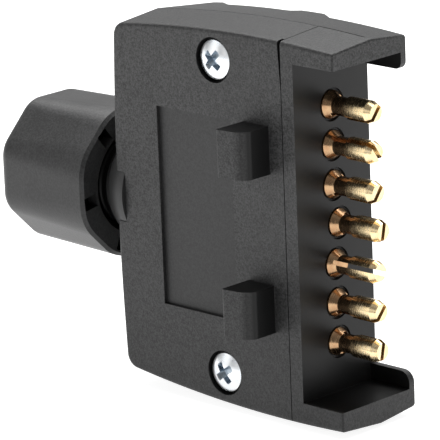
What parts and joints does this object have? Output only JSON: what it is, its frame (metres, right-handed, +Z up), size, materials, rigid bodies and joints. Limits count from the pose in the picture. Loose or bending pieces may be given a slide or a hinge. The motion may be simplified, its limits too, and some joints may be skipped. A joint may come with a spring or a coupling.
{
  "type": "trailer wiring plug",
  "caption": "Flat trailer wiring plug with a shrouded row of split contact pins, a screwed two-part housing and a compression cable gland.",
  "frame": {"origin": "middle of the object's foot, at the bottom centre of its box", "axes": "+X forward along the contact pins towards the socket, +Z up along the row of pins, -Y towards the screwed cover"},
  "size_m": [0.081, 0.0306, 0.0688],
  "materials": {
    "housing_plastic": "fine spark-eroded grain, charcoal",
    "gland_plastic": "satin, dark grey",
    "nut_plastic": "satin, near black",
    "washer_plastic": "smooth, natural white",
    "seal_rubber": "matt",
    "contact_brass": "turned and polished",
    "screw_zinc": "bright zinc plated",
    "terminal_screw_steel": "zinc plated"
  },
  "bodies": {
    "housing": {"cover": "housing_plastic", "base": "housing_plastic", "contact_pin_1": "contact_brass", "contact_pin_2": "contact_brass", "contact_pin_3": "contact_brass", "contact_pin_4": "contact_brass", "contact_pin_5": "contact_brass", "contact_pin_6": "contact_brass", "contact_pin_7": "contact_brass", "terminal_screw_1": "terminal_screw_steel", "terminal_screw_2": "terminal_screw_steel", "terminal_screw_3": "terminal_screw_steel", "terminal_screw_4": "terminal_screw_steel", "terminal_screw_5": "terminal_screw_steel", "terminal_screw_6": "terminal_screw_steel", "terminal_screw_7": "terminal_screw_steel", "cover_screw_upper": "screw_zinc", "cover_screw_lower": "screw_zinc", "gland_body": "gland_plastic", "cable_seal": "seal_rubber"},
    "washer": {"slip_washer": "washer_plastic"},
    "nut": {"gland_nut": "nut_plastic"}
  },
  "joints": [
    {"name": "nut_travel", "type": "slide", "parent": "housing", "child": "washer", "axis": [-1, 0, 0], "range_m": [0, 0.009]},
    {"name": "nut_turn", "type": "hinge", "parent": "washer", "child": "nut", "pos_m": [-0.02757, 0.00147, 0.03452], "axis": [-1, 0, 0], "range_deg": [0, 1620]}
  ],
  "couplings": [
    {"joint": "nut_travel", "follows": "nut_turn", "m_per_rad": 0.00031831}
  ]
}
